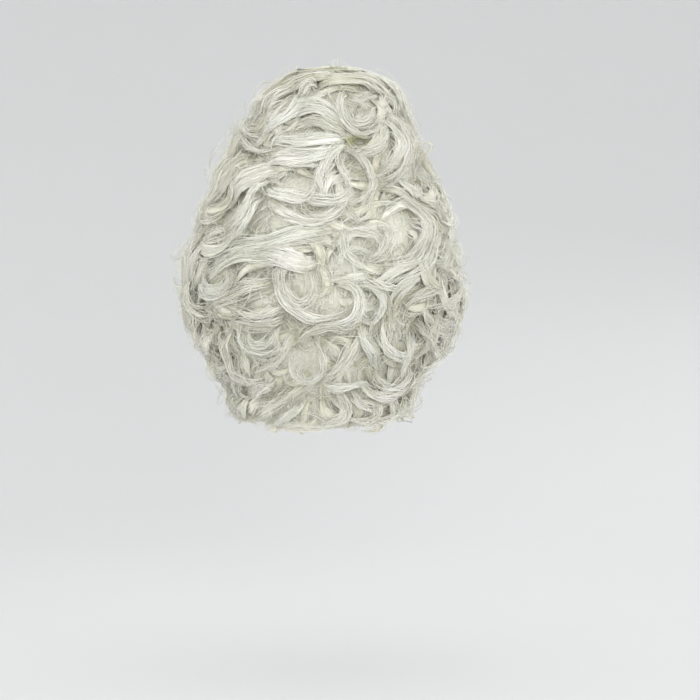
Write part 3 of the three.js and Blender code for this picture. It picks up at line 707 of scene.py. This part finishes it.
def add_strands(shape, wisps, per_wisp, points=STRAND_POINTS, radius=STRAND_RADIUS, mix=0.26):
    """Single strands that keep to a wisp, and stray ones that leave it. Their tones differ by mix."""
    which = np.repeat(np.arange(wisps.count), per_wisp)
    n = len(which)
    stray = rng.random(n) < STRAY_SHARE
    start = wisps.start[which] + rng.uniform(0, 0.2, n)
    end = np.minimum(wisps.end[which] + rng.uniform(-0.12, 0.12, n), 1)
    line, out, _, share = wisps.lines(which, start, end, points)
    side, up = frames_along(line, out)
    a, size = rng.uniform(-0.2 * np.pi, 1.2 * np.pi, n), rng.uniform(0.0004, 0.0015, n)
    spread = column(size) * np.where(column(stray), 0.8 + 3.2 * share**1.5, 1.1 - 0.5 * share)
    x, y = column(np.cos(a)) * spread, column(np.sin(a)) * spread
    line = line + side * x[..., None] + up * y[..., None]
    beat, phase = column(rng.uniform(1, 3.5, n)), column(rng.uniform(0, 2 * np.pi, n))
    waver = column(rng.uniform(0.0001, 0.0006, n) * (1 + 1.5 * stray))
    line = line + side * (waver * np.sin(2 * np.pi * beat * share + phase))[..., None]
    radius = radius * rng.uniform(0.6, 1.4, n) * (1 - 0.3 * stray)
    tone = wisps.tone[which] + rng.normal(0.12, mix, n)
    comb = comb_of(np.zeros((n, 1, 1)), share, wisps.locks.long[wisps.owner[which]])
    shape.add(strand_rings(line, out, radius), tone, np.repeat(comb, 3, axis=2))


locks_of = {name: Shapes() for name, *_ in TIERS}
strands_of = {name: Shapes() for name, *_ in TIERS}


def dress(locks, tone=0.0, bodies=True, ribbons=0.3, spacing=WISP_SPACING, per_wisp=1, **strand_sizes):
    """Adds each lock, painted lighter or darker by tone as light and shade of its layer, to the pieces of the
    tier that it grows from.
    """
    locks.shade += tone
    tier = locks.tiers()
    for index, (name, *_) in enumerate(TIERS):
        which = np.flatnonzero(tier == index)
        if not len(which):
            continue
        wisps = Wisps(locks, which, spacing)
        if bodies:
            add_bodies(locks_of[name], locks, which[locks.wide[which] > NARROWEST_BODY])
            add_wisps(locks_of[name], wisps, ribbons)
        add_strands(strands_of[name], wisps, per_wisp, **strand_sizes)


def chart_lines(rows):
    """Smooth lines with even steps through places of the chart: how far across and down they lie."""
    lines = []
    for places in rows:
        steps = smooth_columns(places, np.linspace(0, len(places) - 1, WALK_STEPS * 4 + 1))
        way = np.concatenate([[0], np.cumsum(np.linalg.norm(np.diff(steps, axis=0), axis=1))])
        even = np.linspace(0, way[-1], WALK_STEPS + 1)
        lines.append([np.interp(even, way, values) for values in steps.T])
    return np.swapaxes(np.array(lines), 0, 1)


def charted_locks():
    """The locks of the chart, laid on the back of the hair."""
    x, z = chart_place(*chart_lines(places for _, _, *places in BACK_LOCKS))
    wide, deep, set_back, lean = HAIR.outline(z)
    share = np.clip((x - lean) / wide, -0.985, 0.985)
    points = np.stack([lean + share * wide, set_back + deep * np.sqrt(1 - share**2), z], -1)
    wide_mm, light = np.array([row[:2] for row in BACK_LOCKS], float).T
    lift_mm = np.clip(5 - 0.3 * wide_mm, 0, 4)
    return Locks(points, wide_mm * 1.15, lift_mm, 1 + 0.06 * wide_mm, twist=20, shade=light * PAINTED_LIGHT_STEP)


def loose_curls():
    """The loose curls of the chart, in the plane of the hair's edge as it shows from behind."""
    x, z = chart_place(*chart_lines(LOOSE_CURLS), highest=1.1)
    middle = HAIR.outline(z)[2] + column(rng.uniform(-0.01, 0.02, len(z)))
    points = np.stack([x, middle, z], -1)
    outs = np.broadcast_to((0.0, 1.0, 0.0), points.shape)
    return Locks(points, 1.8, 0.0, 0.0, twist=0, outs=outs)


def top_locks():
    """The broad locks that come over the top from the front."""
    angle, up, heading, turn, long_mm, wide_mm = np.array(TOP_LOCKS, float).T
    return Locks(walked(angle, height_of(up), heading, turn, long_mm, 5), wide_mm * 1.2, 0.0, 3.0)


def echoes(guides, copies, widths, lifts):
    """Narrow locks that keep near the guides, each a little off its course."""
    which = np.repeat(np.arange(guides.count), copies)
    n = len(which)
    start, end = rng.uniform(0, 0.25, n), rng.uniform(0.75, 1, n)
    share = np.linspace(0, 1, WALK_STEPS + 1)
    middle, _, across = guides.at(which, column(start) + column(end - start) * share)
    reach = column(guides.wide[which] * 0.45 + 0.002)
    off, lean, bow = rng.uniform(-1, 1, (3, n, 1)) * reach
    off = off + 0.7 * lean * (2 * share - 1) + 0.5 * bow * np.sin(np.pi * share)
    points = HAIR.project(middle + across * off[..., None])
    arch = guides.arch[which] * 1000 + rng.uniform(0, 2, n)
    lift = guides.lift[which] * 1000 + rng.uniform(*lifts, n)
    return Locks(points, rng.uniform(*widths, n), lift, arch, shade=guides.light[which])


def followers(guides, angle, z, longs, widths, lifts, arches):
    """Locks rooted at given places that run the way of the nearest guide."""
    n = len(z)
    far = np.linalg.norm(HAIR.point(angle, z)[:, None, None] - guides.points[None], axis=-1).reshape(n, -1)
    nearest, step = np.divmod(far.argmin(1), WALK_STEPS + 1)
    out, along = guides.outs[nearest, step], guides.alongs[nearest, step]
    down = unit(DOWN - dot(DOWN[None], out) * out)
    heading = np.degrees(np.arctan2(dot(along, np.cross(down, out))[:, 0], dot(along, down)[:, 0]))
    long_mm = rng.uniform(*longs, n)
    turn = np.clip(guides.turn[nearest] * long_mm / 1000 / guides.long[nearest], -240, 240)
    heading = heading - turn * rng.uniform(0.2, 0.6, n) + rng.normal(0, 14, n)
    points = walked(angle, z, heading, turn + rng.normal(0, 35, n), long_mm, 10)
    sizes = [rng.uniform(*pair, n) for pair in (widths, lifts, arches)]
    return Locks(points, *sizes, shade=guides.light[nearest])


def scattered(angles, ups, spacing, jitter=0.35):
    """Roots spread evenly over a stretch of the skin, with an uneven step between them."""
    roots = []
    low, high = height_of(np.array(ups[0])), height_of(np.array(ups[1]))
    rows = max(1, round(float(high - low) / spacing))
    for row in range(rows):
        z = low + (high - low) * (row + 0.5) / rows
        wide, deep, _, _ = HAIR.outline(z)
        girth = np.pi * (wide + deep) * (angles[1] - angles[0]) / 360
        count = max(1, round(girth / spacing))
        step = (angles[1] - angles[0]) / count
        for place in range(count):
            shift = 0.5 + 0.5 * (row % 2 - 0.5) + rng.uniform(-jitter, jitter)
            angle = angles[0] + step * (place + shift)
            roots.append((angle, z + spacing * rng.uniform(-jitter, jitter)))
    return np.array(roots).T


def curly(angles, ups, spacing, headings, turns, longs, widths, lifts, arches, wave=10):
    """Locks with random curls over a stretch of the skin."""
    angle, z = scattered(angles, ups, spacing)
    n = len(z)
    heading = rng.uniform(*headings, n) * rng.choice((-1.0, 1.0), n)
    turn = rng.uniform(*turns, n) * rng.choice((-1.0, 1.0), n)
    points = walked(angle, z, heading, turn, rng.uniform(*longs, n), wave)
    return Locks(points, *(rng.uniform(*pair, n) for pair in (widths, lifts, arches)))


def rim_curls(angles, ups, spacing):
    """Small loose curls that stand out from the hair and turn back to it."""
    angle, z = scattered(angles, ups, spacing)
    n = len(z)
    root = HAIR.point(angle, z)
    out = HAIR.normal(root)
    down = unit(DOWN - dot(DOWN[None], out) * out)
    a = np.radians(rng.normal(0, 50, n))[:, None]
    along = down * np.cos(a) + np.cross(down, out) * np.sin(a)
    along = along * rng.choice((-1.0, 1.0), n, p=(0.3, 0.7))[:, None]
    share = np.linspace(0, 1, WALK_STEPS + 1)
    first, turn = column(rng.uniform(35, 75, n)), column(rng.uniform(-330, -110, n))
    rise = np.radians(first + turn * share**1.3)
    step = column(rng.uniform(20, 38, n)) / 1000 / WALK_STEPS
    forward = np.cumsum(np.cos(rise) * step, 1)
    height = RIM_HEIGHT * np.tanh(np.cumsum(np.sin(rise) * step, 1) / RIM_HEIGHT) - 0.002
    points = root[:, None] + along[:, None] * forward[..., None] + out[:, None] * height[..., None]
    outs = np.repeat(np.cross(along, out)[:, None], WALK_STEPS + 1, 1)
    return Locks(points, rng.uniform(1.5, 4, n), 0.0, rng.uniform(0, 2, n), outs=outs)


def face_edge(side, count):
    """Locks that hang on the cut edge of the hair beside the face, from the head out to the skin."""
    angle = side * (FACE_ANGLE - 1)
    share = np.linspace(0, 1, WALK_STEPS + 1)
    long = column(rng.uniform(0.04, 0.065, count))
    top = -0.05 - (0.15 - long) * column((np.arange(count) + rng.random(count)) / count)
    z = top - long * share
    sway = column(rng.uniform(0.05, 0.13, count)) * np.sin(
        2 * np.pi * (column(rng.uniform(0.8, 1.5, count)) * share + column(rng.random(count)))
    )
    reach = np.clip(column(rng.uniform(0.08, 0.95, count)) + sway, 0.02, 1)[..., None]
    points = HEAD.point(angle, z, 0.004) * (1 - reach) + HAIR.point(angle, z) * reach
    ahead = HAIR.point(angle + side, z) - HAIR.point(angle, z)
    sizes = rng.uniform(9, 15, count), rng.uniform(0, 3, count), rng.uniform(1, 4, count)
    return Locks(points, *sizes, outs=unit(ahead), beside_face=True)


def brow_edge(count):
    """Locks rooted along the cap's edge over the forehead: they lie under the hair and turn up over it."""
    share = np.linspace(0, 1, WALK_STEPS + 1)
    spread = (np.arange(count) + rng.random(count)) / count * 2 - 1
    sway = column(rng.uniform(3, 9, count) * rng.choice((-1.0, 1.0), count)) * np.sin(2.4 * share) ** 2
    angle = 180 + column(spread * (180 - FACE_ANGLE + 1)) + sway
    out = np.clip(share / 0.5, 0, 1) ** 0.8
    z = BROW + column(rng.uniform(0.024, 0.04, count)) * np.clip((share - 0.42) / 0.58, 0, 1) ** 1.3
    points = HEAD.point(angle, z, 0.002) * (1 - out[:, None]) + HAIR.point(angle, z) * out[:, None]
    up = np.clip((share - 0.3) / 0.35, 0, 1)[:, None]
    outs = unit(DOWN * (1 - up) + HAIR.normal(points) * up)
    sizes = rng.uniform(9, 14, count), rng.uniform(0, 2, count), rng.uniform(1, 3, count)
    return Locks(points, *sizes, outs=outs, beside_face=True)


# The guides of each side, which the hair between them follows. The numbers of the random locks are
# ranges, in the order of curly and followers
BACK = charted_locks()
TOP = top_locks()
LEFT = curly((58, 128), (-0.95, 0.65), 0.034, (0, 70), (90, 260), (60, 100), (9, 18), (0, 2), (2, 8), 6)
RIGHT = curly((-128, -58), (-0.95, 0.65), 0.034, (0, 70), (90, 260), (60, 100), (9, 18), (0, 2), (2, 8), 6)
FRONT = curly((128, 232), (-0.16, 0.7), 0.03, (150, 180), (10, 90), (70, 110), (12, 20), (0, 2), (2, 6), 6)
for guides, angles, ups, spacing in (
    (BACK, (-66, 66), (-0.99, 0.93), 0.018),
    (TOP, (64, 296), (0.66, 0.97), 0.019),
    (LEFT, (60, 130), (-0.98, 0.7), 0.022),
    (RIGHT, (-130, -60), (-0.98, 0.7), 0.022),
    (FRONT, (130, 230), (-0.17, 0.7), 0.019),
):
    main, fine, copies = (6, 2, 3) if guides is BACK else (2, 1, 2)
    # The guides and the echoes over them are painted lighter, as painted light, and the bed of followers
    # under them darker, as painted shade
    dress(guides, 0.1, ribbons=0.5, per_wisp=main)
    bed = followers(guides, *scattered(angles, ups, spacing), (40, 75), (9, 16), (-5, -2.5), (0, 3))
    dress(bed, -0.26, ribbons=0.4, spacing=0.0028, per_wisp=fine, points=7, mix=0.45)
    dress(echoes(guides, copies, (1.5, 5), (0.5, 3.5)), 0.2, False, spacing=0.0018, per_wisp=fine)

# Locks along the hairline, swept up from it, and down the edges of the hair beside the face
HAIRLINE = (150, 180), (10, 60), (45, 75), (8, 13), (-1, 1), (1, 4), 5
dress(curly((128, 232), (-0.22, -0.1), 0.011, *HAIRLINE), 0.06, ribbons=0.4)
dress(brow_edge(46), 0.0, ribbons=0.3, spacing=0.003)
for side in (-1, 1):
    ends = sorted((side * 106, side * 124))
    fall = curly(ends, (-0.95, -0.12), 0.021, (0, 20), (20, 90), (45, 75), (10, 16), (0, 2), (2, 5), 6)
    dress(fall, 0.06, ribbons=0.4, per_wisp=2)
    dress(face_edge(side, 60), 0.0, ribbons=0.4, spacing=0.003, per_wisp=1)

# Fine frizz between the curls, and thin hairs and loose curls that stand off the outline
FRIZZ = ((0, 180), (60, 300), (25, 55), (4, 8))
THIN = dict(spacing=0.002, points=7, radius=0.0002, mix=0.4)
frizz = curly((-70, 70), (-0.99, 0.97), 0.014, *FRIZZ, (-4, 0), (0, 3))
# The frizz between the curls is painted darker, as shade between them, and the thin hairs and rim curls that
# stand off the outline lighter, as painted light
dress(frizz, -0.1, False, spacing=0.0025, points=7, mix=0.5)
dress(curly((-180, 180), (-0.99, 0.99), 0.026, *FRIZZ, (-1, 4), (3, 10)), 0.1, False, **THIN)
for side in (-92, 92):
    fuzz = curly((side - 30, side + 30), (-0.99, 0.96), 0.014, *FRIZZ, (0, 5), (3, 14))
    dress(fuzz, 0.1, False, **THIN)
    dress(rim_curls((side - 24, side + 24), (-0.97, 0.96), 0.011), 0.2, False, spacing=0.0012, points=9)
dress(rim_curls((-180, 180), (-0.97, 0.98), 0.034), 0.2, False, spacing=0.0012, points=9)
dress(loose_curls(), -0.1, False, points=13, radius=0.0005)


def new_object(name, bm, *materials):
    mesh = bpy.data.meshes.new(name)
    bm.to_mesh(mesh)
    bm.free()
    for polygon in mesh.polygons:
        polygon.use_smooth = True
    for material in materials:
        mesh.materials.append(material)
    obj = bpy.data.objects.new(name, mesh)
    bpy.context.scene.collection.objects.link(obj)
    return obj


def node_of(tree, kind, inputs=None, **settings):
    node = tree.nodes.new(kind)
    for key, value in settings.items():
        setattr(node, key, value)
    for key, value in (inputs or {}).items():
        if isinstance(value, bpy.types.NodeSocket):
            tree.links.new(value, node.inputs[key])
        else:
            node.inputs[key].default_value = value
    return node


def noise_of(tree, vector, scale, detail, **inputs):
    return node_of(tree, "ShaderNodeTexNoise", {"Vector": vector, "Scale": scale, "Detail": detail, **inputs})


def ramp_of(tree, value, *stops):
    """A colour ramp through stops, each a position and a colour, from the first to the last."""
    ramp = node_of(tree, "ShaderNodeValToRGB", {"Fac": value})
    first, *between, last = stops
    ends = ramp.color_ramp.elements
    for end, (position, colour) in zip(ends, (first, last)):
        end.position, end.color = position, (*colour, 1)
    for position, colour in between:
        ends.new(position).color = (*colour, 1)
    return ramp.outputs["Color"]


def roughened(tree, principled, height, strength, depth):
    """Raises the surface of a material a little where a pattern is high."""
    bump = node_of(tree, "ShaderNodeBump", {"Height": height, "Strength": strength, "Distance": depth})
    tree.links.new(bump.outputs["Normal"], principled.inputs["Normal"])


def shader(name):
    material = bpy.data.materials.new(name)
    material.use_nodes = True
    tree = material.node_tree
    return material, tree, tree.nodes["Principled BSDF"]


MULTIPLY = dict(data_type="RGBA", blend_type="MULTIPLY")


def knot_gap():
    """Where the hair is darker and olive-green in the gap between the locks of the knot at the top."""
    x, z = chart_place(79, 39.8)
    wide, deep, set_back, lean = HAIR.outline(z)
    return x, set_back + deep * math.sqrt(1 - ((x - lean) / wide) ** 2), z


def white_hair():
    """Fine white fibre: each strand has its own tone, which also carries the painted light and shade of the
    hair, and fine streaks run along the locks.
    """
    material, tree, principled = shader("white_hair")
    tone = node_of(tree, "ShaderNodeAttribute", attribute_name="tone").outputs["Fac"]
    comb = node_of(tree, "ShaderNodeAttribute", attribute_name="comb").outputs["Vector"]
    place = node_of(tree, "ShaderNodeTexCoord").outputs["Object"]
    streaks = noise_of(tree, comb, 1.0, 2.0).outputs["Fac"]
    mixed = node_of(tree, "ShaderNodeMath", {0: streaks, 1: 1.2, 2: tone}, operation="MULTIPLY_ADD")
    span = {"Value": mixed.outputs[0], "From Min": 0.4, "From Max": 1.9}
    lightness = node_of(tree, "ShaderNodeMapRange", span).outputs["Result"]
    white = ramp_of(
        tree, lightness, (0, (0.64, 0.615, 0.48)), (0.5, (0.89, 0.87, 0.77)), (1, (0.99, 0.98, 0.94))
    )
    patches = noise_of(tree, place, 22.0, 1.0).outputs["Fac"]
    tint = ramp_of(tree, patches, (0.4, (1.0, 0.995, 0.97)), (0.6, (0.985, 1.0, 0.965)))
    colour = node_of(tree, "ShaderNodeMix", {0: 1.0, 6: white, 7: tint}, **MULTIPLY).outputs[2]
    from_knot = node_of(tree, "ShaderNodeVectorMath", {0: place, 1: knot_gap()}, operation="SUBTRACT")
    squeeze = {0: from_knot.outputs[0], 1: (0.45, 0.5, 1.0)}
    squeezed = node_of(tree, "ShaderNodeVectorMath", squeeze, operation="MULTIPLY")
    far = node_of(tree, "ShaderNodeVectorMath", {0: squeezed.outputs[0]}, operation="LENGTH")
    fade = {"Value": far.outputs["Value"], "From Min": 0.003, "From Max": 0.0065, "To Min": 1, "To Max": 0}
    near = node_of(tree, "ShaderNodeMapRange", fade).outputs["Result"]
    olive = node_of(tree, "ShaderNodeMix", {0: near, 6: colour, 7: (0.62, 0.64, 0.30, 1)}, **MULTIPLY)
    tree.links.new(olive.outputs[2], principled.inputs["Base Color"])
    roughened(tree, principled, streaks, 0.8, 0.0005)
    principled.inputs["Sheen Weight"].default_value = 0.3
    principled.inputs["Roughness"].default_value = 0.3
    principled.inputs["Specular IOR Level"].default_value = 0.65
    return material


def under_hair_material():
    """Dense white fibre whose streaks run downwards."""
    material, tree, principled = shader("under_hair")
    place = node_of(tree, "ShaderNodeTexCoord").outputs["Object"]
    drawn_out = {0: place, 1: (1.0, 1.0, 0.14)}
    combed = node_of(tree, "ShaderNodeVectorMath", drawn_out, operation="MULTIPLY").outputs[0]
    strands = noise_of(tree, combed, 620.0, 3.0, Distortion=0.6).outputs["Fac"]
    # The under hair is painted a little darker than the curls over it, as painted shade under them
    white = ramp_of(tree, strands, (0.35, (0.66, 0.65, 0.54)), (0.7, (0.88, 0.87, 0.78)))
    tree.links.new(white, principled.inputs["Base Color"])
    roughened(tree, principled, strands, 0.8, 0.002)
    principled.inputs["Roughness"].default_value = 0.7
    return material


def cap_net():
    """Soft net with sewn rows across it."""
    material, tree, principled = shader("cap_net")
    place = node_of(tree, "ShaderNodeTexCoord").outputs["Object"]
    weave = {"Vector": place, "Scale": 420.0}
    cells = node_of(tree, "ShaderNodeTexVoronoi", weave, feature="DISTANCE_TO_EDGE")
    span = {"Value": cells.outputs["Distance"], "From Min": 0.05, "From Max": 0.2}
    opening = node_of(tree, "ShaderNodeMapRange", span).outputs["Result"]
    rows = node_of(tree, "ShaderNodeTexWave", {"Vector": place, "Scale": 26.0}, bands_direction="Z")
    span = {"Value": rows.outputs["Fac"], "From Min": 0.8, "From Max": 0.9}
    sewn = node_of(tree, "ShaderNodeMapRange", span).outputs["Result"]
    thread, shadow, seam = (0.80, 0.78, 0.70, 1), (0.42, 0.40, 0.33, 1), (0.86, 0.85, 0.79, 1)
    net = node_of(tree, "ShaderNodeMix", {0: opening, 6: thread, 7: shadow}, data_type="RGBA").outputs[2]
    both = node_of(tree, "ShaderNodeMix", {0: sewn, 6: net, 7: seam}, data_type="RGBA").outputs[2]
    tree.links.new(both, principled.inputs["Base Color"])
    roughened(tree, principled, both, 0.6, 0.0008)
    principled.inputs["Roughness"].default_value = 0.8
    return material


HAIR_MATERIAL = white_hair()

for name, *_ in TIERS:
    for kind, shape in (("locks", locks_of[name]), ("strands", strands_of[name])):
        piece = shape.piece(name + "_" + kind, HAIR_MATERIAL)
        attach(piece, "root")
        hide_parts(name)


def hair_end(angle):
    """How low the hair comes at an angle round the head: it ends at the hairline over the face."""
    side = np.abs(np.mod(angle + 180, 360) - 180)
    angles = (0, 60, 100, FACE_ANGLE - 2, FACE_ANGLE + 2, 180)
    return np.interp(side, angles, (-0.214, -0.206, -0.196, -0.18, -0.05, -0.044))


def under_hair():
    """The dense hair under the curls, from the cap's outside to a little under their skin."""
    columns, rows = 80, 36
    sunk = 0.006
    angle = np.linspace(0, 360, columns + 1)[:, None]
    half = rows // 2
    share = np.linspace(0, 1, half + 1)[None] ** 1.3
    end = hair_end(angle)
    inner = HEAD.point(angle, end * share, CAP_WALL + CAP_GAP)
    inner[:, 0, :2] = 0
    inner[..., 2] += (CAP_WALL + CAP_GAP) * np.clip(1 - share / 0.3, 0, 1)
    top = HAIR_RISE - sunk
    outer = HAIR.point(angle, top + (end - top) * share, -sunk)
    outer = outer + HAIR.normal(outer) * (lumps(outer) * np.clip(share / 0.1, 0, 1))[..., None]
    outer[:, 0] = (*HAIR.point(0, HAIR_RISE)[:2], top)
    grid = np.concatenate([inner, outer[:, ::-1]], 1)
    bm = bmesh.new()
    bmesh.ops.create_grid(bm, x_segments=columns, y_segments=grid.shape[1] - 1, size=1)
    bm.verts.ensure_lookup_table()
    for vertex, place in zip(bm.verts, np.swapaxes(grid, 0, 1).reshape(-1, 3)):
        vertex.co = place
    bmesh.ops.remove_doubles(bm, verts=bm.verts, dist=1e-5)
    bmesh.ops.recalc_face_normals(bm, faces=bm.faces)
    return new_object("under_hair", bm, under_hair_material())


under = under_hair()
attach(under, "root")

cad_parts["cap"].data.materials.clear()
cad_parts["cap"].data.materials.append(cap_net())

# The studio: a pale bowl whose floor curves up into its wall, soft lights and the camera
FLOOR = -0.47
BOWL_RADIUS = 3.4
BOWL_CURVE = 1.9
BOWL_TOP = 2.4


def pale_bowl():
    material, _, principled = shader("pale_floor")
    principled.inputs["Base Color"].default_value = (0.73, 0.735, 0.735, 1)
    principled.inputs["Roughness"].default_value = 0.9
    bm = bmesh.new()
    turn = [math.radians(a) for a in range(0, 91, 10)]
    profile = [(0, FLOOR), (BOWL_RADIUS - BOWL_CURVE, FLOOR)]
    profile += [
        (BOWL_RADIUS - BOWL_CURVE * (1 - math.sin(a)), FLOOR + BOWL_CURVE * (1 - math.cos(a))) for a in turn
    ]
    profile.append((BOWL_RADIUS, BOWL_TOP))
    points = [bm.verts.new((x, 0, z)) for x, z in profile]
    edges = [bm.edges.new(pair) for pair in zip(points, points[1:])]
    bmesh.ops.spin(
        bm, geom=points + edges, axis=(0, 0, 1), cent=(0, 0, 0), angle=2 * math.pi, steps=72, use_merge=True
    )
    bmesh.ops.remove_doubles(bm, verts=bm.verts, dist=1e-4)
    bmesh.ops.recalc_face_normals(bm, faces=bm.faces)
    bmesh.ops.reverse_faces(bm, faces=bm.faces)
    return new_object("floor", bm, material)


pale_bowl()


def soft_light(name, place, aim, size, power, spread=80):
    light = bpy.data.lights.new(name, "AREA")
    light.shape, light.size, light.energy, light.spread = "DISK", size, power, math.radians(spread)
    lamp = bpy.data.objects.new(name, light)
    lamp.location = place
    lamp.rotation_euler = (Vector(aim) - Vector(place)).to_track_quat("-Z", "Y").to_euler()
    bpy.context.scene.collection.objects.link(lamp)


WIG_MIDDLE = (0, 0.02, -0.03)
soft_light("key", (-0.32, 2.7, 0.25), WIG_MIDDLE, 1.0, 5.9)
soft_light("left_fill", (2.0, 1.45, 0.2), WIG_MIDDLE, 1.0, 2.5)
soft_light("right_fill", (-2.0, 1.45, 0.2), WIG_MIDDLE, 1.0, 2.7)
soft_light("top", (0, 0.4, 2.3), WIG_MIDDLE, 1.6, 0.8)
soft_light("front", (-1.2, -2.2, 1.2), WIG_MIDDLE, 1.6, 8, 150)

world = bpy.data.worlds.new("studio")
world.use_nodes = True
world.node_tree.nodes["Background"].inputs["Color"].default_value = (0.985, 0.995, 1.0, 1)
world.node_tree.nodes["Background"].inputs["Strength"].default_value = 1.05
bpy.context.scene.world = world

# The camera stands level behind the wig. The picture is PICTURE_WIDTH wide at the wig's middle.
PICTURE_WIDTH = 0.721
CAMERA_DISTANCE = 2.0
SENSOR = 36
camera = bpy.data.objects.new("camera", bpy.data.cameras.new("camera"))
camera.data.sensor_width = SENSOR
camera.data.lens = SENSOR * CAMERA_DISTANCE / PICTURE_WIDTH
camera.location = (-0.025, CAMERA_DISTANCE + 0.02, -0.134)
camera.rotation_euler = (math.pi / 2, 0, math.pi)
bpy.context.scene.collection.objects.link(camera)
bpy.context.scene.camera = camera
bpy.context.scene.view_settings.view_transform = "Standard"
